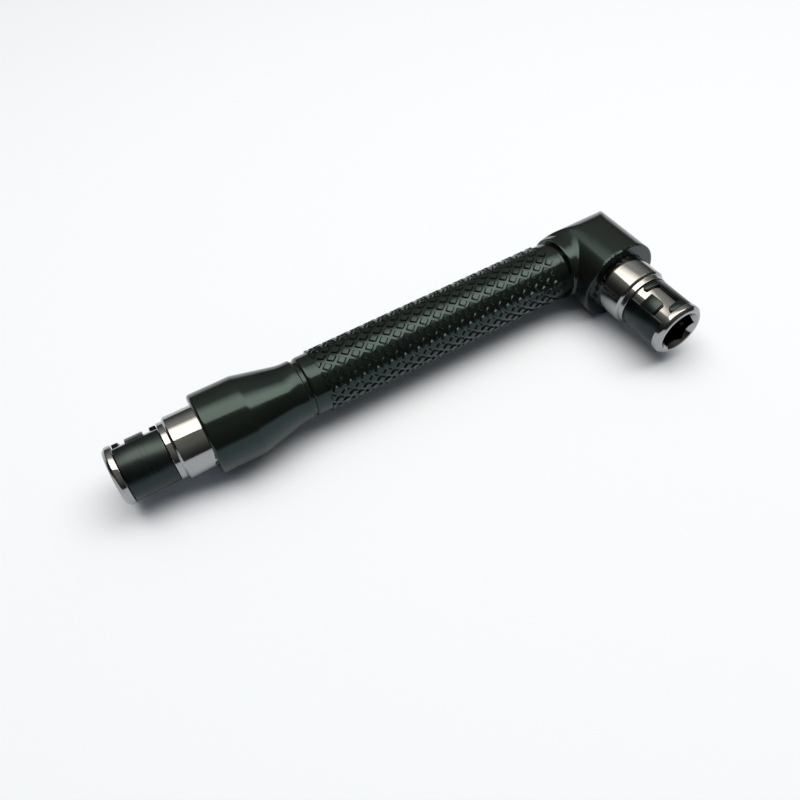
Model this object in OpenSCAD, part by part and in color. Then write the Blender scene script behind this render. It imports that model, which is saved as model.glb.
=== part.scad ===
// Two-ended hex bit wrench: a moulded elbow handle with one bit socket in line and one at a right angle.
// The handle lies along +X from the mouth of the in-line socket, and the angle socket points along -Y.

/* [Bit sockets] */
// Hexagon across flats, a free fit on a 6.35 mm bit
hex_af = 6.4; // [6.36:0.02:6.6]
// Depth of the hexagon from the mouth
hex_depth = 13; // [10:0.5:15]
// Diameter of the drilled hole that the hexagon was broached from
drill_d = 6.1; // [5.7:0.1:6.3]
// Depth of that hole past the hexagon
drill_depth = 1.6; // [0.6:0.1:2.4]
// Diameter of the countersink at the mouth
mouth_d = 8; // [7.7:0.1:8.6]
// Outside diameter of the nose
nose_d = 10.2; // [9.8:0.1:11]
// Length of the nose, from the mouth to the collar's step
nose_l = 10.2; // [9.8:0.1:10.8]
// Bevel round the mouth end of the nose
nose_bevel = 0.45; // [0.2:0.05:0.6]
// Height of the collar's step above the nose
collar_step = 0.5; // [0.4:0.05:0.8]
// Length of the collar, part of it inside the plastic
collar_l = 8; // [7:0.5:8.5]
// Bevel at the collar's step
collar_bevel = 0.35; // [0.1:0.05:0.4]
// Diameter of the shank that the plastic holds
shank_d = 9.7; // [9:0.1:10]
// Width across the shank's two flats
shank_flats = 8.4; // [8:0.1:8.8]
// Length of the shank
shank_l = 10.5; // [8:0.5:10.5]
// Diameter of the neck that keeps the shank from pulling out
shank_neck_d = 7.6; // [7:0.1:7.9]
// Width of that neck
shank_neck_w = 1.5; // [1:0.1:3]

/* [Spring clips] */
// Width of the flat spring
clip_w = 7.5; // [6.5:0.1:7.6]
// Thickness of the flat spring
clip_t = 0.5; // [0.4:0.05:0.6]
// How far the clip lies below the outside of the nose
clip_sunk = 0.16; // [0:0.02:0.2]
// Distance from the mouth to the clip's groove
rim_w = 1.5; // [1:0.1:2]
// Opening between the prong tips and the shoulders, along the arc
split_gap = 2.6; // [1.6:0.1:3.4]
// Width of the tongue in the middle of the split
tongue_w = 3; // [2.4:0.1:3.4]
// Length of the tongue, along the arc
tongue_l = 2.85; // [1.4:0.05:3.2]
// Width of each prong beside the split
prong_w = 1.25; // [0.8:0.05:1.4]
// Length of each prong, along the arc
prong_l = 3.1; // [2:0.1:3.6]

/* [Detent balls] */
// Diameter of the steel ball
ball_d = 1.4; // [1.2:0.05:1.6]
// Distance of the ball from the mouth
ball_from_mouth = 5.25; // [4.5:0.05:6]

/* [Boot] */
// How far the in-line socket stands out of the boot
inline_out = 15.3; // [14.2:0.1:16.2]
// Diameter of the boot
boot_d = 14.4; // [14:0.1:17]
// Length of the boot's straight part
boot_straight = 7; // [4:0.1:10]
// Length of the taper from the boot to its lip
boot_taper = 9; // [8:0.1:14]
// Length of the straight lip between the taper and the groove
boot_lip = 1.8; // [0.8:0.1:4]
// Diameter of that lip
boot_lip_d = 10.9; // [10.8:0.1:12]
// Rounding of the boot's front edge
boot_edge = 0.7; // [0.3:0.05:1]

/* [Grip] */
// Diameter of the grip over its knurl
grip_d = 11.4; // [11.2:0.1:12]
// Length of the grip between its two grooves
grip_l = 52.4; // [40:0.2:80]
// Width of the groove at each end of the grip
groove_w = 1; // [0.6:0.1:1.4]
// Depth of that groove below the plain bands
groove_depth = 0.4; // [0.3:0.05:0.5]
// Width of the plain band at each end of the grip
band_w = 1.3; // [0.8:0.1:4]
// Height of the knurl above the plain bands
knurl_h = 0.3; // [0.1:0.05:0.4]
// Rounding of the edges beside the two grooves
groove_edge = 0.2; // [0.1:0.05:0.3]

/* [Head] */
// Diameter of the round arm that holds the angle socket
head_d = 15.6; // [14.6:0.1:17]
// Length of the neck that shows between the groove and the arm
neck_show = 0.3; // [0.2:0.1:4]
// How much larger in radius the neck is than the grip
neck_step = 0.2; // [0.1:0.05:0.5]
// How far the arm's front face stands out past the side of the neck
front_proud = 3.45; // [3.25:0.05:4.2]
// How far the head's rounded back stands out past the back of the neck
back_proud = 0.1; // [0.05:0.05:0.6]
// Rounding of the arm's front edge
head_edge = 0.4; // [0.2:0.05:0.8]
// How far the angle socket stands out of the head
angle_out = 15.9; // [15.4:0.1:16.6]

/* [Clocking] */
// Turn of the in-line socket about its axis
inline_turn = 90; // [-180:5:180]
// Place of the split in the in-line clip
inline_split = 148; // [-180:1:180]
// Turn of the angle socket about its axis
angle_turn = 0; // [-180:5:180]
// Place of the split in the angle clip
angle_split = -126; // [-180:1:180]

/* [Fits] */
// Gap between a clip and its groove, and between a ball and its clip
clip_gap = 0.02; // [0.01:0.01:0.04]
// Gap at each side of a clip in its groove
clip_side_gap = 0.1; // [0.05:0.05:0.2]
// Gap between a ball and its seat
ball_gap = 0.03; // [0.02:0.01:0.06]
// Gap between the steel and the plastic moulded round it
insert_gap = 0.02; // [0.01:0.01:0.05]

/* [Hidden] */
$fn = 96;

plastic_colour = "#1a1f20";
nickel_colour = "#b7b3a9";
spring_colour = "#2b3335";
ball_colour = "#c8cacc";

// Overlap that lets cuts run clear of a face
past = 0.5;
// Steps in each eased or rounded stretch of the handle's outline
ease_steps = 10;

// Radii and places along a socket, measured from its mouth
hex_corner_r = hex_af / sqrt(3);
nose_r = nose_d / 2;
collar_r = nose_r + collar_step;
clip_outer_r = nose_r - clip_sunk;
clip_inner_r = clip_outer_r - clip_t;
clip_floor_r = clip_inner_r - clip_gap;
clip_from = rim_w + clip_side_gap;
clip_room = clip_w + 2 * clip_side_gap;
collar_end = nose_l + collar_l;
shank_end = collar_end + shank_l;
shank_neck_from = collar_end + (shank_l - shank_neck_w) / 2;
shank_neck_to = shank_neck_from + shank_neck_w;

// The ball bears on a corner of the hexagon, where a bit has its notch
ball_turn = 180;
ball_r = ball_d / 2;
ball_at_r = clip_inner_r - clip_gap - ball_r;

// Places along the handle, measured from the mouth of the in-line socket
taper_x = inline_out + boot_straight;
lip_x = taper_x + boot_taper;
boot_end_x = lip_x + boot_lip;
grip_x = boot_end_x + groove_w;
grip_end_x = grip_x + grip_l;
knurl_x = grip_x + band_w;
knurl_end_x = grip_end_x - band_w;
neck_x = grip_end_x + groove_w;
head_r = head_d / 2;
head_x = neck_x + neck_show + head_r;
// The neck ends inside the arm, half way to the arm's axis
neck_end_x = head_x - head_r / 2;

// Radii of the handle, and the head's faces measured from the handle's axis
grip_r = grip_d / 2;
band_r = grip_r - knurl_h;
groove_r = band_r - groove_depth;
boot_r = boot_d / 2;
boot_lip_r = boot_lip_d / 2;
neck_r = grip_r + neck_step;
head_front = neck_r + front_proud;
head_back = neck_r + back_proud;

// Angle that an arc of the given length spans on the clip's outside
function arc_angle(length) = length / clip_outer_r * 180 / PI;

// Points that ease from one radius and place to another, level at both ends
function eased(r0, x0, r1, x1) = [
    for (i = [0 : ease_steps])
        let (t = i / ease_steps)
        [r0 + (r1 - r0) * (1 - cos(180 * t)) / 2, x0 + (x1 - x0) * t]
];

// Points on an arc round a centre given as radius and place
function arc_points(r, x, radius, from, to) = [
    for (i = [0 : ease_steps])
        let (a = from + (to - from) * i / ease_steps)
        [r + radius * cos(a), x + radius * sin(a)]
];

// Points round the edge of a face beside a groove, which the face meets at its end (1) or start (-1)
function edge_points(r, x, side) = arc_points(
    r - groove_edge, x - side * groove_edge, groove_edge, side > 0 ? 0 : -90, side > 0 ? 90 : 0
);

// Stands a shape made along +Z at the mouth of the in-line socket
module at_inline() {
    rotate([0, 90, 0]) children();
}

// Stands a shape made along +Z at the mouth of the angle socket
module at_angle() {
    translate([head_x, -head_front - angle_out, 0]) rotate([-90, 0, 0]) children();
}

// A wedge about Z from one angle to another, less than half a turn
module wedge(from, to, radius, height) {
    reach = radius / cos((to - from) / 4);
    linear_extrude(height)
        polygon([
            [0, 0],
            reach * [cos(from), sin(from)],
            reach * [cos((from + to) / 2), sin((from + to) / 2)],
            reach * [cos(to), sin(to)]
        ]);
}

// The steel that the plastic holds: the collar's inner part and the flatted shank with its neck
module held_steel(grow) {
    translate([0, 0, nose_l + collar_bevel])
        cylinder(r = collar_r + grow, h = collar_l - collar_bevel + grow);
    intersection() {
        union() {
            translate([0, 0, collar_end - past])
                cylinder(d = shank_d + 2 * grow, h = shank_neck_from - collar_end + past + grow);
            translate([0, 0, collar_end - past])
                cylinder(d = shank_neck_d + 2 * grow, h = shank_l + past);
            translate([0, 0, shank_neck_to - grow])
                cylinder(d = shank_d + 2 * grow, h = shank_end - shank_neck_to + 2 * grow);
        }
        translate([-shank_d, -shank_flats / 2 - grow, collar_end - 2 * past])
            cube([2 * shank_d, shank_flats + 2 * grow, shank_l + 4 * past]);
    }
}

// One steel bit socket along +Z with its mouth at the origin
module socket() {
    difference() {
        union() {
            rotate_extrude()
                polygon([
                    [0, 0],
                    [nose_r - nose_bevel, 0],
                    [nose_r, nose_bevel],
                    [nose_r, rim_w],
                    [clip_floor_r, rim_w],
                    [clip_floor_r, rim_w + clip_room],
                    [nose_r, rim_w + clip_room],
                    [nose_r, nose_l],
                    [collar_r - collar_bevel, nose_l],
                    [collar_r, nose_l + collar_bevel],
                    [collar_r, collar_end],
                    [0, collar_end]
                ]);
            held_steel(0);
        }
        translate([0, 0, -past])
            cylinder(r = hex_corner_r, h = hex_depth + past, $fn = 6);
        translate([0, 0, hex_depth - past])
            cylinder(d = drill_d, h = drill_depth + past);
        mouth_cone();
        ball_seat();
    }
}

// Countersink that scallops the hexagon's mouth
module mouth_cone() {
    translate([0, 0, -past])
        cylinder(r1 = mouth_d / 2 + past, r2 = 0, h = mouth_d / 2 + past);
}

// Radial hole for the ball, with a lip at its inner end that keeps the ball in
module ball_seat() {
    rotate([0, 0, ball_turn])
        translate([ball_at_r, 0, ball_from_mouth]) {
            sphere(r = ball_r + ball_gap);
            rotate([0, 90, 0])
                cylinder(r = ball_r + ball_gap, h = nose_r - ball_at_r + past);
        }
}

// Detent ball in its seat
module ball() {
    rotate([0, 0, ball_turn])
        translate([ball_at_r, 0, ball_from_mouth])
            sphere(r = ball_r);
}

// Flat spring ring whose split has a tongue on one end and two prongs on the other
module clip() {
    half_gap = arc_angle(split_gap) / 2;
    shoulder = -half_gap;
    tongue_tip = shoulder + arc_angle(tongue_l);
    notch = half_gap + arc_angle(prong_l);
    prong_round = half_gap + arc_angle(prong_w / 2);
    reach = nose_d;
    lap = 2;
    translate([0, 0, clip_from])
        intersection() {
            difference() {
                cylinder(r = clip_outer_r, h = clip_w);
                translate([0, 0, -past])
                    cylinder(r = clip_inner_r, h = clip_w + 2 * past);
            }
            union() {
                difference() {
                    translate([0, 0, -past])
                        cylinder(r = reach, h = clip_w + 2 * past);
                    translate([0, 0, -2 * past])
                        wedge(shoulder, notch, 2 * reach, clip_w + 4 * past);
                }
                translate([0, 0, (clip_w - tongue_w) / 2])
                    wedge(shoulder - lap, tongue_tip, reach, tongue_w);
                for (from = [0, clip_w - prong_w]) {
                    translate([0, 0, from])
                        wedge(prong_round, notch + lap, reach, prong_w);
                    rotate([0, 0, prong_round])
                        translate([0, 0, from + prong_w / 2])
                            rotate([0, 90, 0])
                                cylinder(d = prong_w, h = reach);
                }
            }
        }
}

// Boot, grip and neck as one turned outline about the handle's axis
module turned_handle() {
    at_inline()
        rotate_extrude()
            polygon(concat(
                [[0, inline_out]],
                arc_points(boot_r - boot_edge, inline_out + boot_edge, boot_edge, -90, 0),
                eased(boot_r, taper_x, boot_lip_r, lip_x),
                edge_points(boot_lip_r, boot_end_x, 1),
                [[groove_r, boot_end_x], [groove_r, grip_x]],
                edge_points(band_r, grip_x, -1),
                [[band_r, knurl_x], [grip_r, knurl_x + knurl_h]],
                [[grip_r, knurl_end_x - knurl_h], [band_r, knurl_end_x]],
                edge_points(band_r, grip_end_x, 1),
                [[groove_r, grip_end_x], [groove_r, neck_x]],
                edge_points(neck_r, neck_x, -1),
                [[neck_r, neck_end_x], [0, neck_end_x]]
            ));
}

// Round arm of the head, closed by a back that is rounded about the handle's direction
module head() {
    intersection() {
        translate([head_x, -head_front, 0])
            rotate([-90, 0, 0])
                rotate_extrude()
                    polygon(concat(
                        [[0, 0]],
                        arc_points(head_r - head_edge, head_edge, head_edge, -90, 0),
                        [[head_r, head_front + head_d], [0, head_front + head_d]]
                    ));
        union() {
            translate([head_x - head_d, head_back - head_r, 0])
                rotate([0, 90, 0])
                    cylinder(r = head_r, h = 2 * head_d);
            translate([head_x - head_d, -head_front - past, -head_d])
                cube([2 * head_d, head_front + past + head_back - head_r, 2 * head_d]);
        }
    }
}

module handle() {
    color(plastic_colour)
        difference() {
            union() {
                turned_handle();
                head();
            }
            at_inline() rotate([0, 0, inline_turn]) held_steel(insert_gap);
            at_angle() rotate([0, 0, angle_turn]) held_steel(insert_gap);
        }
}

module inline_socket() {
    color(nickel_colour) at_inline() rotate([0, 0, inline_turn]) socket();
}

module inline_clip() {
    color(spring_colour) at_inline() rotate([0, 0, inline_split]) mirror([0, 1, 0]) clip();
}

module inline_ball() {
    color(ball_colour) at_inline() rotate([0, 0, inline_turn]) ball();
}

module angle_socket() {
    color(nickel_colour) at_angle() rotate([0, 0, angle_turn]) socket();
}

module angle_clip() {
    color(spring_colour) at_angle() rotate([0, 0, angle_split]) clip();
}

module angle_ball() {
    color(ball_colour) at_angle() rotate([0, 0, angle_turn]) ball();
}

handle();
inline_socket();
inline_clip();
inline_ball();
angle_socket();
angle_clip();
angle_ball();
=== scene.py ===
"""Scene of a two-ended hex bit wrench.

A knurled plastic handle carries a plated steel bit socket in line with it and a second
one at a right angle. Each socket has a flat spring clip round its nose, and the clip
presses a steel ball into one corner of the hexagon.

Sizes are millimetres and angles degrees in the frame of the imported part: X runs along the
handle from the in-line socket's mouth, Y across it, Z up. Meshes are written in metres.
"""

import logging
import math
from abc import ABC, abstractmethod
from dataclasses import dataclass, field
from enum import Enum
from functools import cache
from typing import Any, ClassVar, Sequence

import bmesh
import bpy
import numpy as np
from mathutils import Matrix, Vector


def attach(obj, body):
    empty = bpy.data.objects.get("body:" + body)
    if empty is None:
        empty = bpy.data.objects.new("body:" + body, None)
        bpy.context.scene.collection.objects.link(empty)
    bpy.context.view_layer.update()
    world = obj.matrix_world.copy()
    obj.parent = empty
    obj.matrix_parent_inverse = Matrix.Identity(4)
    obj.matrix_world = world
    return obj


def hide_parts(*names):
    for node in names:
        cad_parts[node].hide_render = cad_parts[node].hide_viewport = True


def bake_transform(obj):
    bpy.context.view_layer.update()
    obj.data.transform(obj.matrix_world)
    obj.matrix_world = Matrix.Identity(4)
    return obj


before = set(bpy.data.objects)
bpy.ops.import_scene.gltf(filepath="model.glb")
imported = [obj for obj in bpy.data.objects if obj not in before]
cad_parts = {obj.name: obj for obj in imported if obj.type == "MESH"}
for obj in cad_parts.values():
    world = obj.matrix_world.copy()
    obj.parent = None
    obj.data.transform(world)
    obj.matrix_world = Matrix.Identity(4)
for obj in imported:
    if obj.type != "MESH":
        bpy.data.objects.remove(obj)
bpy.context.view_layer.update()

Piece = bpy.types.Object
Material = bpy.types.Material
Tree = bpy.types.NodeTree
Node = bpy.types.Node
Pair = tuple[float, float]
Triple = tuple[float, float, float]
Faces = list[tuple[int, ...]]
# Points, one row each, and faces
Shape = tuple[np.ndarray, Faces]

MM = 0.001
MATH = "ShaderNodeMath"
NOISE = "ShaderNodeTexNoise"
MAP_RANGE = "ShaderNodeMapRange"
# Place of the elbow along the handle
ELBOW_X = 95.6
# Points closer than this are one point
WELD_MM = 0.0005
# Edges that turn by more than this, in degrees, stay sharp on most pieces
SHARP_ANGLE = 35.0
# Octaves of the noise in patches of tone and in fine relief
PATCH_DETAIL = 4.0
RELIEF_DETAIL = 3.0
log = logging.getLogger("wrench")


# Mesh tools


def rounded(path: Sequence[Triple], closed: bool = False, steps: int = 4) -> np.ndarray:
    """Rounds the corners of a flat path.

    Args:
        path: Corners as (first, second, radius); a radius of 0 keeps a corner sharp.
        closed: Whether the last corner joins the first.
        steps: Segments on each rounded corner.

    Returns:
        The points of the rounded path, one row each.
    """
    corners = np.array(path, float)
    points: list[np.ndarray] = []
    for i, (a, b, radius) in enumerate(corners):
        here = np.array([a, b])
        if radius == 0 or (not closed and i in (0, len(corners) - 1)):
            points.append(here)
            continue
        before = corners[i - 1, :2] - here
        after = corners[(i + 1) % len(corners), :2] - here
        before /= np.linalg.norm(before)
        after /= np.linalg.norm(after)
        half = math.acos(np.clip(before @ after, -1, 1)) / 2
        middle = here + (before + after) / np.linalg.norm(before + after) * radius / math.sin(half)
        start = here + before * radius / math.tan(half) - middle
        end = here + after * radius / math.tan(half) - middle
        sweep = math.pi - 2 * half
        for k in range(steps + 1):
            t = k / steps
            weight = np.array([math.sin((1 - t) * sweep), math.sin(t * sweep)]) / math.sin(sweep)
            points.append(middle + weight[0] * start + weight[1] * end)
    return np.array(points)


def finish_mesh(piece: Piece, sharp_angle: float = SHARP_ANGLE) -> None:
    """Turns faces outwards and shades them smooth up to an angle.

    Args:
        piece: The piece whose mesh is finished in place.
        sharp_angle: Edges that turn by more than this, in degrees, stay sharp.
    """
    shell = bmesh.new()
    shell.from_mesh(piece.data)
    bmesh.ops.remove_doubles(shell, verts=shell.verts, dist=WELD_MM * MM)
    bmesh.ops.recalc_face_normals(shell, faces=shell.faces)
    if shell.calc_volume(signed=True) < 0:
        bmesh.ops.reverse_faces(shell, faces=shell.faces)
    for face in shell.faces:
        face.smooth = True
    shell.to_mesh(piece.data)
    shell.free()
    piece.data.set_sharp_from_angle(angle=math.radians(sharp_angle))


def new_piece(
    name: str,
    points: np.ndarray,
    faces: Sequence[Sequence[int]],
    sharp_angle: float | None = SHARP_ANGLE,
) -> Piece:
    """Makes a piece from points in millimetres and links it to the scene.

    Args:
        name: Name of the object and its mesh.
        points: One row of X, Y, Z for each point.
        faces: Point numbers of each face.
        sharp_angle: Edges that turn by more than this, in degrees, stay sharp. With None
            the mesh is left unfinished.

    Returns:
        The new object.
    """
    mesh = bpy.data.meshes.new(name)
    mesh.from_pydata((points * MM).tolist(), [], [list(map(int, f)) for f in faces])
    piece = bpy.data.objects.new(name, mesh)
    bpy.context.scene.collection.objects.link(piece)
    if sharp_angle is not None:
        finish_mesh(piece, sharp_angle)
    return piece


def skin(rings: np.ndarray) -> Shape:
    """Skins closed rings in order and closes both ends with a fan.

    Args:
        rings: Points as (ring, place on the ring, X Y Z), all rings of one count.

    Returns:
        The points, one row each, and the faces.
    """
    count, around, _ = rings.shape
    points = np.concatenate([rings.reshape(-1, 3), rings[[0, -1]].mean(axis=1)])
    first, last = count * around, count * around + 1
    faces: Faces = []
    for j in range(around):
        k = (j + 1) % around
        faces.append((first, k, j))
        faces.append((last, first - around + j, first - around + k))
        for i in range(count - 1):
            a = i * around
            faces.append((a + j, a + k, a + around + k, a + around + j))
    return points, faces


def bake(piece: Piece) -> None:
    """Replaces a piece's mesh by what its modifiers make of it, and removes them.

    Args:
        piece: The piece to bake in place.
    """
    depsgraph = bpy.context.evaluated_depsgraph_get()
    mesh = bpy.data.meshes.new_from_object(piece.evaluated_get(depsgraph), depsgraph=depsgraph)
    mesh.name = piece.name
    piece.modifiers.clear()
    piece.data = mesh


def cut(piece: Piece, tool: Piece) -> None:
    """Cuts a closed tool out of a piece and deletes the tool.

    Args:
        piece: The piece that is cut in place.
        tool: The closed shape that is taken away.
    """
    modifier = piece.modifiers.new("cut", "BOOLEAN")
    modifier.object = tool
    modifier.operation = "DIFFERENCE"
    modifier.solver = "EXACT"
    bake(piece)
    bpy.data.objects.remove(tool)


def mark_along(piece: Piece, axis: int) -> None:
    """Stores each point's distance along the given axis for the finish's lines.

    Args:
        piece: The piece that takes the attribute.
        axis: 0 for X or 1 for Y.
    """
    attribute = piece.data.attributes.new("along", "FLOAT", "POINT")
    attribute.data.foreach_set("value", [vertex.co[axis] for vertex in piece.data.vertices])


# Node tools


def linear(colour: str) -> tuple[float, float, float, float]:
    """Turns an sRGB hex colour into linear light.

    Args:
        colour: The colour, such as #1c1d1e.

    Returns:
        Red, green, blue and alpha.
    """
    parts = [int(colour[i : i + 2], 16) / 255 for i in (1, 3, 5)]
    lit = [p / 12.92 if p <= 0.04045 else ((p + 0.055) / 1.055) ** 2.4 for p in parts]
    return lit[0], lit[1], lit[2], 1.0


def add_node(
    tree: Tree, kind: str, settings: dict[str, Any] | None = None, **inputs: Any
) -> Node:
    """Adds a node, sets its properties and fills its inputs.

    Args:
        tree: The tree that takes the node.
        kind: Blender's type name of the node.
        settings: The node's properties by name.
        inputs: Values, output sockets, or nodes for their first output, by the input's
            name with _ for a space, or by its number after an n, such as n0.

    Returns:
        The new node.
    """
    node = tree.nodes.new(kind)
    for name, value in (settings or {}).items():
        setattr(node, name, value)
    for name, value in inputs.items():
        key = int(name[1:]) if name[0] == "n" and name[1:].isdigit() else name.replace("_", " ")
        source = value.outputs[0] if isinstance(value, Node) else value
        if isinstance(source, bpy.types.NodeSocket):
            tree.links.new(source, node.inputs[key])
        else:
            node.inputs[key].default_value = source
    return node


def new_material(name: str) -> tuple[Material, Tree, Node]:
    """Makes a material with a bare surface shader.

    Args:
        name: Name of the material.

    Returns:
        The material, its node tree and its surface shader.
    """
    material = bpy.data.materials.new(name)
    material.use_nodes = True
    tree = material.node_tree
    tree.nodes.clear()
    shader = add_node(tree, "ShaderNodeBsdfPrincipled")
    add_node(tree, "ShaderNodeOutputMaterial", Surface=shader)
    return material, tree, shader


# Finishes


@dataclass(frozen=True, kw_only=True)
class Finish(ABC):
    """What the finishes share: a tone and a gloss that vary, and a fine relief."""

    name: str
    slot: str
    dark: str
    light: str
    # Least and most roughness, and the values of the gloss pattern that give them
    roughness: Pair
    gloss_range: Pair
    relief_depth_mm: float
    relief_strength: float

    @abstractmethod
    def material(self) -> Material:
        """Builds the finish's material on the first call."""

    def coat(self, piece: Piece) -> None:
        """Makes this the only finish of a piece."""
        piece.data.materials.clear()
        piece.data.materials.append(self.material())

    def wire(self, tree: Tree, shader: Node, patches: Node, gloss: Node, relief: Node) -> None:
        """Links the patterns to the shader's colour, roughness and normal.

        Args:
            tree: The material's node tree.
            shader: Its surface shader.
            patches: Pattern that mixes the two tones.
            gloss: Pattern that sets the roughness.
            relief: Pattern that raises the skin.
        """
        dark, light = linear(self.dark), linear(self.light)
        tone = add_node(tree, "ShaderNodeMix", {"data_type": "RGBA"}, n0=patches, n6=dark, n7=light)
        (low, high), (least, most) = self.gloss_range, self.roughness
        rough = add_node(
            tree, MAP_RANGE, Value=gloss, From_Min=low, From_Max=high, To_Min=least, To_Max=most
        )
        depth, strength = self.relief_depth_mm * MM, self.relief_strength
        bump = add_node(tree, "ShaderNodeBump", Height=relief, Strength=strength, Distance=depth)
        tree.links.new(tone.outputs[2], shader.inputs["Base Color"])
        tree.links.new(rough.outputs[0], shader.inputs["Roughness"])
        tree.links.new(bump.outputs[0], shader.inputs["Normal"])


@dataclass(frozen=True, kw_only=True)
class MouldedNylon(Finish):
    """Black nylon, injection moulded: deep black with a soft broad gloss and a faint skin."""

    name: str = "moulded_black_nylon"
    slot: str = "black_plastic"
    dark: str = "#0a0c0a"
    light: str = "#111411"
    roughness: Pair = (0.13, 0.20)
    gloss_range: Pair = (0.3, 0.7)
    relief_depth_mm: float = 0.006
    relief_strength: float = 0.5
    sheen: str = "#d2fbff"
    ior: float = 1.46
    flow_mm: float = 5.0
    skin_mm: float = 0.45

    @cache
    def material(self) -> Material:
        """Builds the material: cloudy flow marks in tone and gloss, and a fine uneven skin.

        Returns:
            The material.
        """
        material, tree, shader = new_material(self.name)
        place = add_node(tree, "ShaderNodeTexCoord").outputs["Object"]
        # Clouds as large as the flow marks of the moulding, and the skin's grain. The real
        # grain of about 0.1 mm is too fine to show and is drawn coarser
        flow, grain = (
            add_node(tree, NOISE, Vector=place, Scale=1 / (size * MM), Detail=detail)
            for size, detail in ((self.flow_mm, PATCH_DETAIL), (self.skin_mm, RELIEF_DETAIL))
        )
        self.wire(tree, shader, flow, flow, grain)
        shader.inputs["IOR"].default_value = self.ior
        shader.inputs["Specular Tint"].default_value = linear(self.sheen)
        return material


@dataclass(frozen=True, kw_only=True)
class BandedSteel(Finish):
    """Steel whose fine lines run round its axis, from turning or from rolling.

    The piece carries its distance along the axis, in metres, in the attribute "along".
    """

    gloss_range: Pair = (0.7, 1.3)
    relief_strength: float = 0.6
    line_mm: float
    haze_mm: float

    @cache
    def material(self) -> Material:
        """Builds the material: a hazy tone, and lines round the axis in gloss and height.

        Returns:
            The material.
        """
        material, tree, shader = new_material(self.name)
        place = add_node(tree, "ShaderNodeTexCoord").outputs["Object"]
        along = add_node(tree, "ShaderNodeAttribute", {"attribute_name": "along"}).outputs["Fac"]
        coarse, fine = 1 / (self.haze_mm * MM), 1 / (self.line_mm * MM)
        one_axis = {"noise_dimensions": "1D"}
        haze = add_node(tree, NOISE, Vector=place, Scale=coarse, Detail=PATCH_DETAIL)
        lines = add_node(tree, NOISE, one_axis, W=along, Scale=fine, Detail=RELIEF_DETAIL)
        gloss = add_node(tree, MATH, {"operation": "ADD"}, n0=haze, n1=lines)
        self.wire(tree, shader, haze, gloss, lines)
        shader.inputs["Metallic"].default_value = 1.0
        return material


NYLON = MouldedNylon()
# Bright nickel plate over turned steel: clear grey reflections, drawn out by faint lines. Real
# turning lines of about 0.1 mm are too fine to show and are drawn coarser
NICKEL = BandedSteel(
    name="nickel_plated_turned_steel",
    slot="nickel_steel",
    dark="#909293",
    light="#a1a3a4",
    roughness=(0.07, 0.14),
    line_mm=0.3,
    relief_depth_mm=0.006,
    haze_mm=2.5,
)
# Spring steel, hardened, rolled and blackened: a dark blue-green satin that blurs reflections
SPRING = BandedSteel(
    name="blackened_spring_steel",
    slot="spring_steel",
    dark="#293132",
    light="#343c3e",
    roughness=(0.27, 0.36),
    line_mm=0.4,
    relief_depth_mm=0.001,
    haze_mm=2.0,
)
# Bearing steel, lapped: an almost clean mirror, with its tone painted dark as painted shade of the
# socket's hollow in which the ball sits. The imported balls have no attribute "along", so no lines
# show on them
BALL = BandedSteel(
    name="lapped_bearing_steel",
    slot="ball_steel",
    # Both tones are set dark as painted shade of the mouth's hollow, not the steel's own colour
    dark="#5f6163",
    light="#6f7173",
    roughness=(0.05, 0.10),
    line_mm=0.3,
    relief_depth_mm=0.0005,
    haze_mm=0.5,
)


# What the sub-assemblies share


class SubAssembly:
    """A group of pieces of one finish that dresses what it builds."""

    finish: ClassVar[Finish] = NYLON

    def dress(self, piece: Piece, node: str) -> Piece:
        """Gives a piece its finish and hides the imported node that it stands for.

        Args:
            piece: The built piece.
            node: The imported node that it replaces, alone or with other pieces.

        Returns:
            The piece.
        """
        self.finish.coat(piece)
        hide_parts(node)
        return piece


# Sockets and clips


@dataclass(frozen=True)
class Station:
    """Where one socket stands, and how its pieces are turned about its axis."""

    body: str
    # The socket's own X, Y and Z in the part's frame
    frame_axes: tuple[Triple, ...]
    mouth: Triple
    hex_turn: float
    split_turn: float
    mirrored: bool
    ball_side: Triple

    def place(self, points: np.ndarray, turn: float) -> np.ndarray:
        """Turns points about the socket's axis and stands them at its mouth.

        Args:
            points: Points in the socket's own frame, +Z inwards from the mouth.
            turn: Turn about +Z, in degrees.

        Returns:
            The points in the part's frame.
        """
        c, s = math.cos(math.radians(turn)), math.sin(math.radians(turn))
        turned = points @ np.array([[c, s, 0], [-s, c, 0], [0, 0, 1]])
        return turned @ np.array(self.frame_axes) + np.array(self.mouth)

    @property
    def axis(self) -> int:
        """Number of the part's axis along which the socket lies."""
        return int(np.argmax(np.abs(self.frame_axes[2])))


class End(Enum):
    """The two ends of the wrench."""

    inline = Station(
        body="inline_detent",
        frame_axes=((0, 0, -1), (0, 1, 0), (1, 0, 0)),
        mouth=(0, 0, 0),
        hex_turn=90,
        split_turn=148,
        mirrored=True,
        ball_side=(0, -1, 0),
    )
    angle = Station(
        body="angle_detent",
        frame_axes=((1, 0, 0), (0, 0, -1), (0, 1, 0)),
        mouth=(ELBOW_X, -25.25, 0),
        hex_turn=0,
        split_turn=-126,
        mirrored=False,
        ball_side=(-1, 0, 0),
    )


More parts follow.
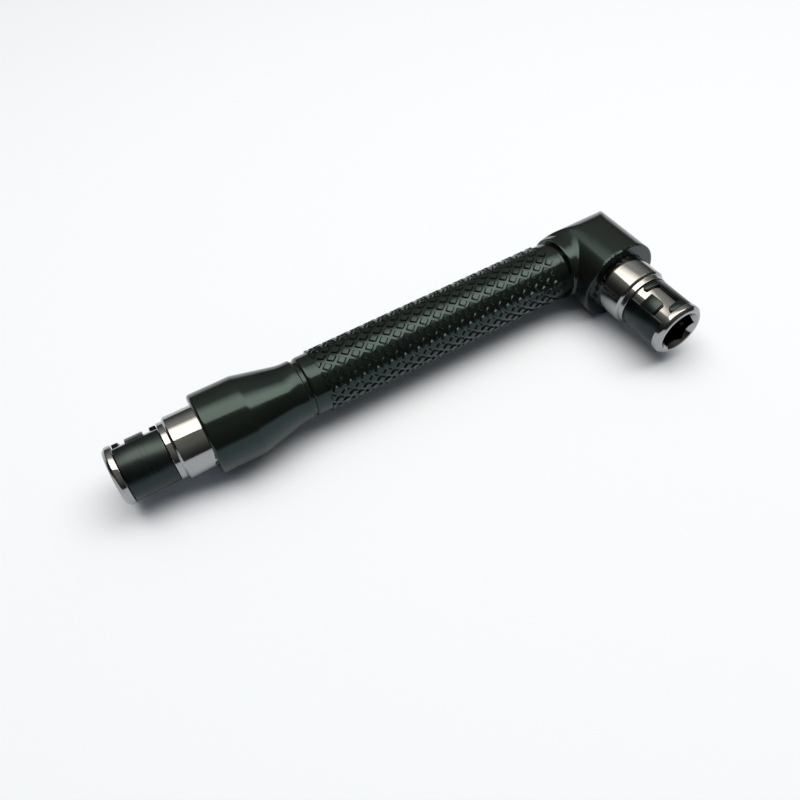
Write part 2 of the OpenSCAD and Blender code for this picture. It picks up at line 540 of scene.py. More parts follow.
@dataclass
class BitSocket(SubAssembly):
    """Turned steel bit socket with its mouth at z 0 and its shank held by the plastic."""

    finish: ClassVar[Finish] = NICKEL
    end: End
    hex_af: float = 6.4
    hex_depth: float = 13.0
    drill_r: float = 3.05
    drill_depth: float = 1.6
    mouth_r: float = 4.0
    nose_r: float = 5.1
    nose_l: float = 10.2
    nose_bevel: float = 0.55
    bevel_round: float = 0.35
    rim_w: float = 1.5
    clip_floor_r: float = 4.42
    clip_room: float = 7.7
    collar_r: float = 5.6
    collar_l: float = 8.0
    collar_bevel: float = 0.35
    shank_r: float = 4.85
    shank_flats: float = 8.4
    shank_l: float = 10.5
    shank_neck_r: float = 3.8
    shank_neck_w: float = 1.5
    ball_r: float = 0.7
    ball_gap: float = 0.03
    ball_at_r: float = 3.72
    ball_from_mouth: float = 5.25
    # The tool for the ball's seat: its points round and along its tip, where the tip
    # starts, in radians, and how far it stands out of the nose
    seat_around: int = 32
    seat_rows: int = 8
    seat_tip: float = 0.15
    seat_past: float = 0.2
    # Gap between the steel and the plastic, and where the pocket's tool starts on the collar
    bed_gap: float = 0.02
    pocket_from: float = 1.0
    edge: float = 0.08
    around: int = 144
    turns: np.ndarray = field(init=False)

    def __post_init__(self) -> None:
        """Works out the angle of each place on a ring."""
        self.turns = np.arange(self.around) * 2 * np.pi / self.around

    def hexagon(self) -> np.ndarray:
        """Radius of the hexagon at each place on a ring, with a corner at turn 0."""
        off_flat = (self.turns + np.pi / 6) % (np.pi / 3) - np.pi / 6
        return self.hex_af / 2 / np.cos(np.pi / 6 - np.abs(off_flat))

    def held_rings(self, grow: float) -> list[tuple[Any, Any]]:
        """Lists the rings of the steel that the plastic holds.

        Args:
            grow: How far the rings stand off the steel, for the pocket in the plastic.

        Returns:
            Pairs of place and radius, from the collar's end to the shank's end.
        """
        collar_end = self.nose_l + self.collar_l
        neck_from = collar_end + (self.shank_l - self.shank_neck_w) / 2
        neck_to = neck_from + self.shank_neck_w
        with np.errstate(divide="ignore"):
            flat = (self.shank_flats / 2 + grow) / np.abs(np.sin(self.turns))
        shank = np.minimum(self.shank_r + grow, flat)
        neck = np.minimum(self.shank_neck_r + grow, flat)
        return [
            (collar_end + grow, self.collar_r + grow),
            (collar_end + grow, shank),
            (neck_from + grow, shank),
            (neck_from + grow, neck),
            (neck_to - grow, neck),
            (neck_to - grow, shank),
            (collar_end + self.shank_l + grow, shank),
        ]

    def rings(self, pairs: Sequence[tuple[Any, Any]]) -> np.ndarray:
        """Turns pairs of place and radius into rings in the part's frame.

        Args:
            pairs: Place along the axis and radius, each one number or one for each turn.

        Returns:
            The rings' points.
        """
        rows = []
        for z, r in pairs:
            x, y = r * np.cos(self.turns), r * np.sin(self.turns)
            rows.append(np.stack([x, y, np.broadcast_to(z, x.shape)], axis=1))
        station = self.end.value
        return station.place(np.array(rows), station.hex_turn)

    def seat(self) -> Piece:
        """Makes the round tool that cuts the ball's seat through the socket's wall.

        Returns:
            The tool, a closed piece.
        """
        radius = self.ball_r + self.ball_gap
        turns = np.arange(self.seat_around) * 2 * np.pi / self.seat_around
        pairs = [
            (self.ball_at_r - radius * math.cos(a), radius * math.sin(a))
            for a in np.linspace(self.seat_tip, np.pi / 2, self.seat_rows)
        ]
        pairs.append((self.nose_r + self.seat_past, radius))
        rows = []
        for out, r in pairs:
            y, z = r * np.cos(turns), self.ball_from_mouth + r * np.sin(turns)
            rows.append(np.stack([np.full(self.seat_around, -out), y, z], axis=1))
        station = self.end.value
        return new_piece("seat_tool", *skin(station.place(np.array(rows), station.hex_turn)))

    def build(self) -> Piece:
        """Builds the socket: drilled hexagon, countersink, rim, clip groove, collar and shank.

        Returns:
            The socket.
        """
        hexagon = self.hexagon()
        collar_end = self.nose_l + self.collar_l
        groove_end = self.rim_w + self.clip_room
        e = self.edge
        outside = rounded(
            [
                (0, self.mouth_r, 0),
                (0, self.nose_r - self.nose_bevel, self.bevel_round),
                (self.nose_bevel, self.nose_r, self.bevel_round),
                (self.rim_w, self.nose_r, e),
                (self.rim_w, self.clip_floor_r, e),
                (groove_end, self.clip_floor_r, e),
                (groove_end, self.nose_r, e),
                (self.nose_l, self.nose_r, e),
                (self.nose_l, self.collar_r - self.collar_bevel, e),
                (self.nose_l + self.collar_bevel, self.collar_r, e),
                (collar_end, self.collar_r, 0),
            ]
        )
        inside = [
            (self.hex_depth + self.drill_depth, self.drill_r),
            (self.hex_depth, self.drill_r),
            (self.hex_depth, hexagon),
            (self.mouth_r - hexagon, hexagon),
        ]
        pairs = [*inside, *outside, *self.held_rings(0)[1:]]
        piece = new_piece(f"{self.end.name}_bit_socket", *skin(self.rings(pairs)))
        cut(piece, self.seat())
        finish_mesh(piece)
        mark_along(piece, self.end.value.axis)
        return self.dress(piece, f"{self.end.name}_socket")

    def pocket(self) -> Piece:
        """Makes the tool that cuts the socket's bed out of the plastic.

        Returns:
            The tool, a closed piece.
        """
        start = (self.nose_l + self.pocket_from, self.collar_r + self.bed_gap)
        pairs = [start, *self.held_rings(self.bed_gap)]
        return new_piece("pocket_tool", *skin(self.rings(pairs)))


@dataclass
class SpringClip(SubAssembly):
    """Flat spring ring round a nose, split between a tongue and two prongs."""

    finish: ClassVar[Finish] = SPRING
    end: End
    outer_r: float = 4.94
    thickness: float = 0.5
    width: float = 7.5
    from_mouth: float = 1.6
    split_gap: float = 2.6
    tongue_w: float = 3.0
    tongue_l: float = 2.85
    prong_tip_w: float = 1.05
    prong_root_w: float = 1.4
    prong_l: float = 3.1
    # How far a prong's tip lies inside the ring's edge
    tip_inset: float = 0.06
    tip_round: float = 0.45
    tongue_round: float = 0.25
    corner_round: float = 0.15
    edge: float = 0.07
    round_steps: int = 6
    strips: int = 120
    # Points closer to a strip's cut than this lie on it
    cut_snap: float = 1e-5
    sharp_angle: float = 50.0

    def outline(self) -> np.ndarray:
        """Lays the ring out flat.

        Returns:
            Arc lengths from the split's middle and places across the width, one row each.
        """
        full = 2 * math.pi * self.outer_r
        tip = self.split_gap / 2
        notch = tip + self.prong_l
        shoulder = full - tip
        tongue = shoulder + self.tongue_l
        low = (self.width - self.tongue_w) / 2
        high = low + self.tongue_w
        tip_r, tongue_r, corner_r = self.tip_round, self.tongue_round, self.corner_round
        return rounded(
            [
                (tip, self.tip_inset, tip_r),
                (notch, 0, 0),
                (shoulder, 0, corner_r),
                (shoulder, low, corner_r),
                (tongue, low, tongue_r),
                (tongue, high, tongue_r),
                (shoulder, high, corner_r),
                (shoulder, self.width, corner_r),
                (notch, self.width, 0),
                (tip, self.width - self.tip_inset, tip_r),
                (tip, self.width - self.prong_tip_w, tip_r),
                (notch, self.width - self.prong_root_w, 2 * corner_r),
                (notch, self.prong_root_w, 2 * corner_r),
                (tip, self.prong_tip_w, tip_r),
            ],
            closed=True,
            steps=self.round_steps,
        )

    def build(self) -> Piece:
        """Cuts the flat blank into strips, thickens it, breaks its edges and bends it round.

        Returns:
            The clip.
        """
        outline = self.outline()
        shell = bmesh.new()
        shell.faces.new([shell.verts.new((u, w, 0)) for u, w in outline])
        low, high = outline[:, 0].min(), outline[:, 0].max()
        for u in np.linspace(low, high, self.strips + 1)[1:-1]:
            geometry = shell.verts[:] + shell.edges[:] + shell.faces[:]
            bmesh.ops.bisect_plane(
                shell, geom=geometry, plane_co=(u, 0, 0), plane_no=(1, 0, 0), dist=self.cut_snap
            )
        raised = bmesh.ops.extrude_face_region(shell, geom=shell.faces[:], use_keep_orig=True)
        for item in raised["geom"]:
            if isinstance(item, bmesh.types.BMVert):
                item.co.z += self.thickness
        bmesh.ops.recalc_face_normals(shell, faces=shell.faces)
        # The edges between a flat side and the wall round it
        rim = []
        for line in shell.edges:
            steep = [abs(face.normal.z) for face in line.link_faces]
            if len(steep) == 2 and abs(steep[0] - steep[1]) > 0.5:
                rim.append(line)
        bmesh.ops.bevel(shell, geom=rim, offset=self.edge, segments=2, profile=0.5, affect="EDGES")
        flat = np.array([v.co for v in shell.verts])
        shell.verts.index_update()
        faces = [[v.index for v in f.verts] for f in shell.faces]
        shell.free()
        station = self.end.value
        turn = flat[:, 0] / self.outer_r * (-1 if station.mirrored else 1)
        r = self.outer_r - self.thickness + flat[:, 2]
        bent = [r * np.cos(turn), r * np.sin(turn), flat[:, 1] + self.from_mouth]
        placed = station.place(np.stack(bent, axis=1), station.split_turn)
        piece = new_piece(f"{self.end.name}_spring_clip", placed, faces, self.sharp_angle)
        mark_along(piece, station.axis)
        return self.dress(piece, f"{self.end.name}_clip")


# Handle


@dataclass
class Boot(SubAssembly):
    """Round end of the handle that holds the in-line socket and tapers to the grip."""

    socket: BitSocket
    front_x: float = 15.3
    taper_x: float = 23.0
    lip_x: float = 31.1
    end_x: float = 33.1
    stub_x: float = 35.0
    boot_r: float = 7.2
    lip_r: float = 5.42
    groove_r: float = 5.0
    edge: float = 0.6
    bend: float = 2.5
    lip_bend: float = 9.0
    lip_edge: float = 0.3
    lip_flare: float = 0.04
    bend_steps: int = 8

    def build(self) -> Piece:
        """Builds the boot: bed of the socket, rounded front edge, taper, lip and groove floor.

        Returns:
            The boot.
        """
        gap = self.socket.bed_gap
        bed = reversed(self.socket.held_rings(gap))
        outside = rounded(
            [
                (self.front_x, self.socket.collar_r + gap, 0),
                (self.front_x, self.boot_r, self.edge),
                (self.taper_x, self.boot_r, self.bend),
                (self.lip_x, self.lip_r, self.lip_bend),
                (self.end_x, self.lip_r + self.lip_flare, self.lip_edge),
                (self.end_x, self.groove_r, 0),
                (self.stub_x, self.groove_r, 0),
            ],
            steps=self.bend_steps,
        )
        piece = new_piece("handle_boot", *skin(self.socket.rings([*bed, *outside])))
        return self.dress(piece, "handle")


@dataclass
class KnurledGrip(SubAssembly):
    """Middle of the handle with staggered rows of raised diamonds between two plain bands."""

    start_x: float = 33.75
    end_x: float = 86.5
    radius: float = 5.42
    # Length and height of the rounding at each end
    front_round: Pair = (0.75, 0.42)
    far_round: Pair = (0.15, 0.15)
    round_points: int = 7
    first_x: float = 36.49
    half_pitch: float = 1.3546
    columns: int = 35
    per_turn: int = 16
    first_turn: float = 113.3
    # Shares of the way from a diamond's middle to its edge, and the height there
    levels: tuple[Pair, ...] = ((0.54, 0.3), (0.55, 0.292), (0.76, 0.0), (1.0, 0.0))
    corner_cut: float = 0.06
    # Shares of the way along a side where a diamond has points, the first at its corner
    side_shares: tuple[float, ...] = (0.0, 0.2, 0.8)
    # Points of neighbouring diamonds closer than this are welded
    weld: float = 0.004
    sharp_angle: float = 30.0

    @property
    def half_width(self) -> float:
        """Half a diamond's width round the grip, as an arc."""
        return math.pi * self.radius / self.per_turn

    def ring(self, share: float) -> np.ndarray:
        """Lays out one ring of a diamond, flat, from its lower corner by the right one.

        Args:
            share: Size of the ring as a share of the whole diamond.

        Returns:
            Places along the grip and round it, one row each.
        """
        length, width = self.half_pitch, self.half_width
        corners = np.array([(0, -width), (length, 0), (0, width), (-length, 0)])
        points = []
        for a, b in zip(corners, np.roll(corners, -1, axis=0)):
            for along in self.side_shares:
                cut_back = self.corner_cut if along == 0 and share < 1 else 0
                points.append((a + (b - a) * along) * (share - cut_back))
        return np.array(points)

    def diamond(self, whole: bool) -> Shape:
        """Lays out a flat diamond: raised pad, its slopes and the land up to its neighbours.

        Args:
            whole: False for only the half on the right of its middle.

        Returns:
            Points along the grip, round it and up, the pad's middle first, and faces.
        """
        n = 4 * len(self.side_shares) if whole else 2 * len(self.side_shares) + 1
        points = [(0.0, 0.0, self.levels[0][1])]
        for share, height in self.levels:
            points += [(u, v, height) for u, v in self.ring(share)[:n]]
        pairs = [(j, (j + 1) % n) for j in range(n if whole else n - 1)]
        faces: Faces = [(0, 1 + j, 1 + k) for j, k in pairs]
        for i in range(len(self.levels) - 1):
            a, b = 1 + i * n, 1 + (i + 1) * n
            faces += [(a + j, b + j, b + k, a + k) for j, k in pairs]
        return np.array(points), faces

    def row_arc(self, row: float) -> float:
        """Arc round the grip at which a row's middle lies."""
        return (row + self.first_turn / 360 * self.per_turn) * 2 * self.half_width

    def half_cells(self) -> Shape:
        """Lays out the diamonds that the plain front band cuts in half.

        Returns:
            Flat points and faces of all half diamonds round the grip.
        """
        one, pattern = self.diamond(False)
        points, faces = [], []
        for row in range(self.per_turn):
            points.append(one + (self.first_x, self.row_arc(row + 0.5), 0))
            faces += [tuple(row * len(one) + i for i in f) for f in pattern]
        return np.concatenate(points), faces

    def band(self, edge: np.ndarray, sign: int) -> Shape:
        """Lays out a plain end band from the knurl's edge to the middle of the end face.

        Args:
            edge: Points of the knurl's edge round the grip, one row each.
            sign: -1 for the front end, 1 for the other.

        Returns:
            Flat points and faces of the band.
        """
        end, (length, height) = self.end_x, self.far_round
        if sign < 0:
            end, (length, height) = self.start_x, self.front_round
        rows = [edge]
        if sign < 0:
            rows.append(edge * (1, 1, 0))
        section = [
            (end - sign * length * (1 - math.sin(a)), -height * (1 - math.cos(a)))
            for a in np.linspace(0, np.pi / 2, self.round_points)
        ]
        n = len(edge)
        for x, h in section + [(end, -self.radius)]:
            rows.append(np.column_stack([np.full(n, x), edge[:, 1], np.full(n, h)]))
        faces = [
            (i * n + j, i * n + j + 1, (i + 1) * n + j + 1, (i + 1) * n + j)
            for i in range(len(rows) - 1)
            for j in range(n - 1)
        ]
        return np.concatenate(rows), faces

    def edges(self) -> tuple[np.ndarray, np.ndarray]:
        """Lists the points of the knurl's two edges, flat, once round the grip.

        Returns:
            The front edge, which crosses the half diamonds, and the zigzag at the far end.
        """
        lower = [(0.0, self.ring(s)[0, 1], h) for s, h in reversed(self.levels)]
        upper = [(0.0, -v, h) for _, v, h in reversed(lower)]
        across = np.array(lower + [(0.0, 0.0, self.levels[0][1])] + upper[:-1])
        right = self.ring(1.0)[: 2 * len(self.side_shares)]
        zigzag = np.column_stack([right, np.zeros(len(right))])
        last_x = self.first_x + self.half_pitch * self.columns
        front, far = [], []
        for row in range(self.per_turn):
            front.append(across + (self.first_x, self.row_arc(row + 0.5), 0))
            far.append(zigzag + (last_x, self.row_arc(row), 0))
        turn = np.array([(0, 2 * self.half_width * self.per_turn, 0)])
        front.append(front[0][:1] + turn)
        far.append(far[0][:1] + turn)
        return np.concatenate(front), np.concatenate(far)

    def tree(self) -> bpy.types.GeometryNodeTree:
        """Builds the node tree that lays the diamonds in staggered rows and wraps them round.

        Returns:
            The tree, with the sizes of the knurl as named inputs.
        """
        tree = bpy.data.node_groups.new("wrapped_knurl", "GeometryNodeTree")
        sockets = [
            ("Ends", "NodeSocketGeometry"),
            ("Diamond", "NodeSocketObject"),
            ("Finish", "NodeSocketMaterial"),
            ("Columns", "NodeSocketInt"),
            ("Per Turn", "NodeSocketInt"),
            ("Radius", "NodeSocketFloat"),
            ("First Place", "NodeSocketFloat"),
            ("Half Pitch", "NodeSocketFloat"),
            ("First Turn", "NodeSocketFloat"),
        ]
        for name, kind in sockets:
            tree.interface.new_socket(name, in_out="INPUT", socket_type=kind)
        tree.interface.new_socket("Geometry", in_out="OUTPUT", socket_type="NodeSocketGeometry")
        given = add_node(tree, "NodeGroupInput").outputs
        position = add_node(tree, "GeometryNodeInputPosition")
        flat = add_node(tree, "ShaderNodeSeparateXYZ", Vector=position).outputs
        known: dict[Any, Any] = {name: given[name] for name, _ in sockets}
        known |= {axis: flat[axis] for axis in "XYZ"}
        known["index"] = add_node(tree, "GeometryNodeInputIndex")
        # Name, operation and terms of each sum
        sums = (
            # Each point's column and row follow from its number
            ("count", "MULTIPLY", "Columns", "Per Turn"),
            ("ratio", "DIVIDE", "index", "Per Turn"),
            ("column", "FLOOR", "ratio"),
            ("row", "MODULO", "index", "Per Turn"),
            # Every second column is shifted by half a row
            ("odd", "MODULO", "column", 2.0),
            ("shift", "MULTIPLY", "odd", 0.5),
            ("staggered", "ADD", "row", "shift"),
            ("full turn", "MULTIPLY", "Radius", 2 * math.pi),
            ("width", "DIVIDE", "full turn", "Per Turn"),
            ("arc", "MULTIPLY", "staggered", "width"),
            ("start", "MULTIPLY", "First Turn", "Radius"),
            ("around", "ADD", "arc", "start"),
            ("run", "MULTIPLY", "column", "Half Pitch"),
            ("along", "ADD", "run", "First Place"),
            # The flat knurl is wrapped round X: its second place is an arc, its third a height
            ("angle", "DIVIDE", "Y", "Radius"),
            ("reach", "ADD", "Z", "Radius"),
            ("cosine", "COSINE", "angle"),
            ("sine", "SINE", "angle"),
            ("across", "MULTIPLY", "reach", "cosine"),
            ("up", "MULTIPLY", "reach", "sine"),
        )
        for name, operation, *terms in sums:
            inputs = {f"n{i}": known.get(term, term) for i, term in enumerate(terms)}
            known[name] = add_node(tree, MATH, {"operation": operation}, **inputs)

        spot = add_node(tree, "ShaderNodeCombineXYZ", X=known["along"], Y=known["around"])
        points = add_node(tree, "GeometryNodePoints", Count=known["count"], Position=spot)
        info = add_node(tree, "GeometryNodeObjectInfo", Object=given["Diamond"])
        diamond = info.outputs["Geometry"]
        cells = add_node(tree, "GeometryNodeInstanceOnPoints", Points=points, Instance=diamond)
        real = add_node(tree, "GeometryNodeRealizeInstances", Geometry=cells)
        joined = add_node(tree, "GeometryNodeJoinGeometry", Geometry=real)
        tree.links.new(given["Ends"], joined.inputs[0])
        across, up = known["across"], known["up"]
        wrapped = add_node(tree, "ShaderNodeCombineXYZ", X=flat["X"], Y=across, Z=up)
        bent = add_node(tree, "GeometryNodeSetPosition", Geometry=joined, Position=wrapped)
        welded = add_node(
            tree, "GeometryNodeMergeByDistance", Geometry=bent, Distance=self.weld * MM
        )
        finish = given["Finish"]
        dressed = add_node(tree, "GeometryNodeSetMaterial", Geometry=welded, Material=finish)
        add_node(tree, "NodeGroupOutput", Geometry=dressed)
        return tree

    def build(self) -> Piece:
        """Builds the grip: plain end bands, half diamonds, and the knurl from the node tree.

        Returns:
            The grip as a plain mesh.
        """
        front, far = self.edges()
        parts = [self.half_cells(), self.band(front, -1), self.band(far, 1)]
        points = np.concatenate([p for p, _ in parts])
        starts = np.cumsum([0] + [len(p) for p, _ in parts[:-1]])
        faces = [tuple(s + i for i in f) for s, (_, fs) in zip(starts, parts) for f in fs]
        piece = new_piece("handle_grip", points, faces, None)
        cell = new_piece("knurl_cell", *self.diamond(True))
        tree = self.tree()
        values = {
            "Diamond": cell,
            "Finish": self.finish.material(),
            "Columns": self.columns,
            "Per Turn": self.per_turn,
            "Radius": self.radius * MM,
            "First Place": (self.first_x + self.half_pitch) * MM,
            "Half Pitch": self.half_pitch * MM,
            "First Turn": math.radians(self.first_turn),
        }
        modifier = piece.modifiers.new("knurl", "NODES")
        modifier.node_group = tree
        for item in tree.interface.items_tree:
            if item.item_type == "SOCKET" and item.in_out == "INPUT" and item.name in values:
                modifier[item.identifier] = values[item.name]
        bake(piece)
        bpy.data.objects.remove(cell)
        finish_mesh(piece, self.sharp_angle)
        return self.dress(piece, "handle")


@dataclass
class ElbowHead(SubAssembly):
    """Head of the handle: a neck that runs into a round arm at a right angle to it."""

    socket: BitSocket
    neck_x: float = 87.5
    axis_x: float = ELBOW_X
    neck_r: float = 6.05
    neck_edge: float = 0.2
    groove_r: float = 5.2
    stub_x: float = 85.0
    arm_r: float = 7.8
    front_y: float = -9.35
    back_axis_y: float = -1.85
    ridge_round: float = 0.35
    front_round: float = 0.25
    cove: float = 0.5
    rows: int = 190
    around: int = 288
    # Reach of the search for the skin, in arm radii, and how often it is halved
    search_reach: float = 2.5
    halvings: int = 40

    def distance(self, x: np.ndarray, y: np.ndarray, z: np.ndarray) -> np.ndarray:
        """Signed distance from the head's skin, negative inside.

        Args:
            x: Places along the handle.
            y: Places across it.
            z: Heights.

        Returns:
            One distance for each point.
        """

        def both(a: np.ndarray, b: np.ndarray, radius: float) -> np.ndarray:
            """Keeps what lies in both shapes, with a rounded edge."""
            edge = np.hypot(np.maximum(radius + a, 0), np.maximum(radius + b, 0))
            return np.minimum(-radius, np.maximum(a, b)) + edge

        neck = both(np.hypot(y, z) - self.neck_r, self.neck_x - x, self.neck_edge)
        neck = np.maximum(neck, x - self.axis_x)
        side = np.hypot(x - self.axis_x, z) - self.arm_r
        back = np.hypot(np.maximum(y - self.back_axis_y, 0), z) - self.arm_r
        arm = both(both(side, back, self.ridge_round), self.front_y - y, self.front_round)
        cove = np.hypot(np.maximum(self.cove - neck, 0), np.maximum(self.cove - arm, 0))
        return np.maximum(self.cove, np.minimum(neck, arm)) - cove

    def build(self) -> Piece:
        """Builds the head by reaching from its middle to its skin, and cuts the socket's bed.

        Returns:
            The head.
        """
        lean0 = math.atan2(self.groove_r, self.axis_x - self.neck_x)
        lean = np.linspace(lean0, np.pi, self.rows)[:-1, None]
        turn = np.arange(self.around) * 2 * np.pi / self.around
        c, s = np.cos(turn), np.sin(turn)
        way = np.stack(np.broadcast_arrays(-np.cos(lean), np.sin(lean) * c, np.sin(lean) * s), -1)
        near = np.zeros(way.shape[:2])
        far = np.full(way.shape[:2], self.search_reach * self.arm_r)
        for _ in range(self.halvings):
            middle = (near + far) / 2
            x, y, z = (middle[..., None] * way).transpose(2, 0, 1)
            inside = self.distance(x + self.axis_x, y, z) < 0
            near, far = np.where(inside, middle, near), np.where(inside, far, middle)
        skin_rings = near[..., None] * way + (self.axis_x, 0, 0)
        stub = [
            np.stack([np.full(self.around, x), self.groove_r * c, self.groove_r * s], axis=1)
            for x in (self.stub_x, self.neck_x)
        ]
        piece = new_piece("handle_head", *skin(np.concatenate([stub, skin_rings])))
        cut(piece, self.socket.pocket())
        finish_mesh(piece)
        return self.dress(piece, "handle")


@dataclass
class MouldFlash(SubAssembly):
    """Ragged skin of plastic that crept out of the mould along a socket's collar."""

    socket: BitSocket
    front_z: float
    # Turn about the socket's axis, in degrees, where the skin reaches out farthest
    far_turn: float
    reach: Pair
    # The larger this is, the shorter the arc on which the skin reaches out
    focus: float
    gap: float = 0.03
    thickness: float = 0.09
    root: float = 0.3
    # How much thinner the skin's lip is on the outside, and how rare its long tongues are
    lip: float = 0.04
    rarity: float = 1.5
    seed: int = 11

    def build(self) -> Piece:
        """Builds the skin as a closed ring that starts inside the plastic.

        Returns:
            The flash.
        """
        near, far = self.reach
        ragged = np.random.default_rng(self.seed).random(self.socket.around) ** self.rarity
        side = (1 + np.cos(self.socket.turns - math.radians(self.far_turn))) / 2
        out = self.front_z - near - (far - near) * ragged * side**self.focus
        inner, root = self.socket.collar_r + self.gap, self.front_z + self.root
        outer = inner + self.thickness
        section = [(root, inner), (root, outer), (out + self.lip, outer), (out, inner)]
        rings = self.socket.rings(section)
        count, around, _ = rings.shape
        faces = []
        for i in range(count):
            a, b = i * around, (i + 1) % count * around
            for j in range(around):
                k = (j + 1) % around
                faces.append((a + j, a + k, b + k, b + j))
        name = f"handle_{self.socket.end.name}_flash"
        return self.dress(new_piece(name, rings.reshape(-1, 3), faces), "handle")


# Studio


@dataclass
class Studio:
    """Pale floor, broad overhead light and the camera of the photograph."""

    floor_z: float = -7.8
    floor_reach: float = 2500.0
    floor_colour: str = "#dfebff"
    floor_roughness: float = 0.9
    floor_gloss: float = 0.1
    camera_at: Triple = (10.93, -80.02, 97.55)
    heading: float = 27.174
    drop: float = 51.63
    roll: float = -4.695
    focal_px: float = 739.31
    image_px: float = 800.0
    sensor_mm: float = 36.0
    clip_m: Pair = (0.001, 20.0)
    key_at: Triple = (205.0, 79.0, 600.0)
    key_size: Pair = (960.0, 560.0)
    key_turn: float = -20.4
    key_power: float = 8.35
    # Shares of the way across the key between which it fades out towards its far edge,
    # and how much sooner it does so at its right end
    key_fade: Pair = (0.52, 0.98)
    key_slant: float = 0.14
    key_colour: str = "#fff2de"
    # Tones of the room by the upward part of a direction; the key hides the darker ceiling
    room: tuple[tuple[float, str], ...] = (
        (0.0, "#474744"),
        (0.28, "#6d6d67"),
        (0.54, "#9d9b95"),
        (0.75, "#c5c3bb"),
        (0.92, "#cac8bf"),
        (1.0, "#2a2a2a"),
    )
    # Parts of a direction between which the room brightens, and its least share of light
    front_shade: Triple = (-0.5, 0.2, 0.42)
    left_shade: Triple = (-0.8, -0.2, 0.2)

    def camera(self) -> None:
        """Sets up the camera at the photograph's place, angle and lens."""
        heading, drop, roll = (math.radians(a) for a in (self.heading, self.drop, self.roll))
        lens = bpy.data.cameras.new("camera")
        lens.sensor_width = self.sensor_mm
        lens.lens = self.focal_px / self.image_px * self.sensor_mm
        lens.clip_start, lens.clip_end = self.clip_m
        camera = bpy.data.objects.new("camera", lens)
        camera.matrix_world = (
            Matrix.Translation(Vector(self.camera_at) * MM)
            @ Matrix.Rotation(-heading, 4, "Z")
            @ Matrix.Rotation(math.pi / 2 - drop, 4, "X")
            @ Matrix.Rotation(roll, 4, "Z")
        )
        bpy.context.scene.collection.objects.link(camera)
        bpy.context.scene.camera = camera

    def floor(self) -> None:
        """Lays the pale floor that keeps the shadow and shows as white where it is lit."""
        reach = self.floor_reach
        corners = ((-reach, -reach), (reach, -reach), (reach, reach), (-reach, reach))
        points = np.array([(x, y, self.floor_z) for x, y in corners])
        floor = new_piece("floor", points, [(0, 1, 2, 3)], None)
        # Matt paper: no gloss, and a cool white that the warm key makes neutral
        material, _, shader = new_material("matt_white_paper")
        shader.inputs["Base Color"].default_value = linear(self.floor_colour)
        shader.inputs["Roughness"].default_value = self.floor_roughness
        shader.inputs["Specular IOR Level"].default_value = self.floor_gloss
        floor.data.materials.append(material)

    def light(self) -> None:
        """Hangs the broad key light overhead, which fades towards its far edge."""
        lamp = bpy.data.lights.new("key", "AREA")
        lamp.shape = "RECTANGLE"
        lamp.size, lamp.size_y = (s * MM for s in self.key_size)
        lamp.energy = self.key_power
        lamp.color = linear(self.key_colour)[:3]
        lamp.use_nodes = True
        tree = lamp.node_tree
        tree.nodes.clear()
        spot = add_node(tree, "ShaderNodeNewGeometry").outputs["Parametric"]
        u, v, _ = add_node(tree, "ShaderNodeSeparateXYZ", Vector=spot).outputs
        across = add_node(tree, MATH, {"operation": "MULTIPLY_ADD"}, n0=u, n1=self.key_slant, n2=v)
        bright, dark = self.key_fade
        ramp = add_node(
            tree, MAP_RANGE, Value=across, From_Min=bright, From_Max=dark, To_Min=1.0, To_Max=0.0
        )
        glow = add_node(tree, "ShaderNodeEmission", Strength=ramp)
        add_node(tree, "ShaderNodeOutputLight", Surface=glow)
        key = bpy.data.objects.new("key", lamp)
        key.location = Vector(self.key_at) * MM
        key.rotation_euler.z = math.radians(self.key_turn)
        bpy.context.scene.collection.objects.link(key)

    def surroundings(self) -> None:
        """Sets the world: a dim room, darker low down, at the front and on the left."""
        world = bpy.data.worlds.new("room")
        world.use_nodes = True
        tree = world.node_tree
        tree.nodes.clear()
        way = add_node(tree, "ShaderNodeTexCoord").outputs["Generated"]
        parts = add_node(tree, "ShaderNodeSeparateXYZ", Vector=way).outputs
        tone = add_node(tree, "ShaderNodeValToRGB", Fac=parts["Z"])
        stops = tone.color_ramp.elements
        stops.remove(stops[1])
        for place, colour in self.room:
            stop = stops[0] if place == 0 else stops.new(place)
            stop.color = linear(colour)
        shades = ((parts["Y"], self.front_shade), (parts["X"], self.left_shade))
        front, left = (
            add_node(tree, MAP_RANGE, Value=part, From_Min=low, From_Max=high, To_Min=least)
            for part, (low, high, least) in shades
        )
        shade = add_node(tree, MATH, {"operation": "MULTIPLY"}, n0=front, n1=left)
        back = add_node(tree, "ShaderNodeBackground", Color=tone, Strength=shade)
        add_node(tree, "ShaderNodeOutputWorld", Surface=back)
        bpy.context.scene.world = world


# Assembly


def main() -> None:
    """Builds the handle, sockets, clips and studio, and reports each piece."""
    logging.basicConfig(level=logging.INFO, format="%(name)s %(message)s")
    bpy.context.scene.view_settings.view_transform = "Standard"

    sockets = {end: BitSocket(end) for end in End}
    boot, head = Boot(sockets[End.inline]), ElbowHead(sockets[End.angle])
    head_front = head.front_y - End.angle.value.mouth[1]
    flashes = (
        MouldFlash(boot.socket, boot.front_x, far_turn=190, reach=(0.02, 0.7), focus=50),
        MouldFlash(head.socket, head_front, far_turn=230, reach=(0.1, 1.0), focus=2),
    )
    pieces = [part.build() for part in (boot, KnurledGrip(), head, *flashes)]
    for piece in pieces:
        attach(piece, "wrench")

    for end, turned in sockets.items():
        station, clip = end.value, SpringClip(end)
        socket = turned.build()
        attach(socket, "wrench")
        ring = clip.build()
        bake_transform(ring)
        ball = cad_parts[f"{end.name}_ball"]
        BALL.coat(ball)
        pieces += [socket, ring, ball]

    for piece in pieces:
        material = piece.data.materials[0]
        log.info("%s: %d faces, %s", piece.name, len(piece.data.polygons), material.name)

    studio = Studio()
    studio.camera()
    studio.floor()
    studio.light()
    studio.surroundings()


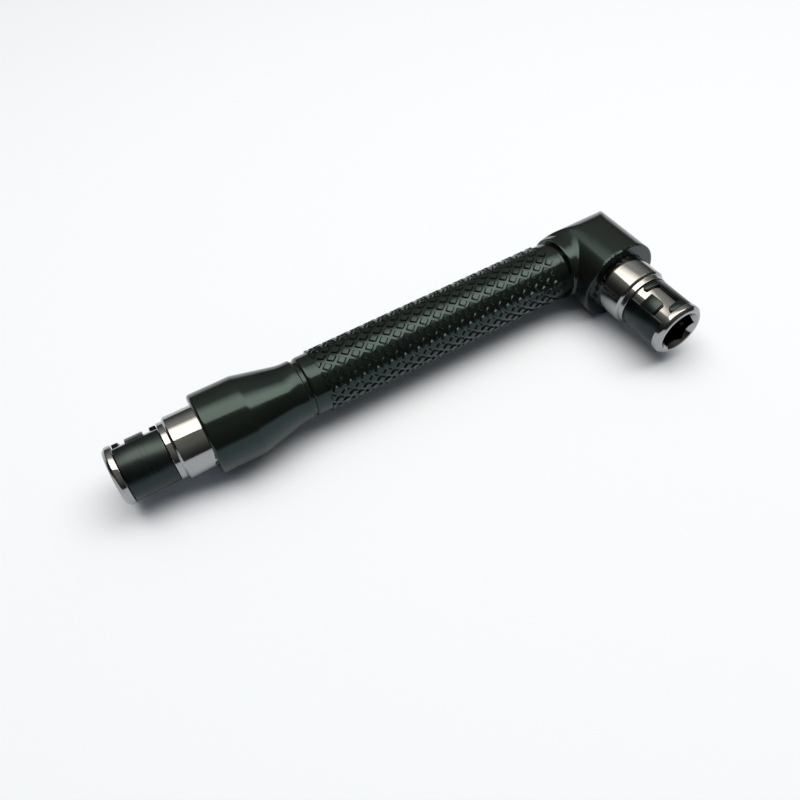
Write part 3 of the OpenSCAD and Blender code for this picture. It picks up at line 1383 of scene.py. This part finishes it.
if __name__ == "__main__":
    main()
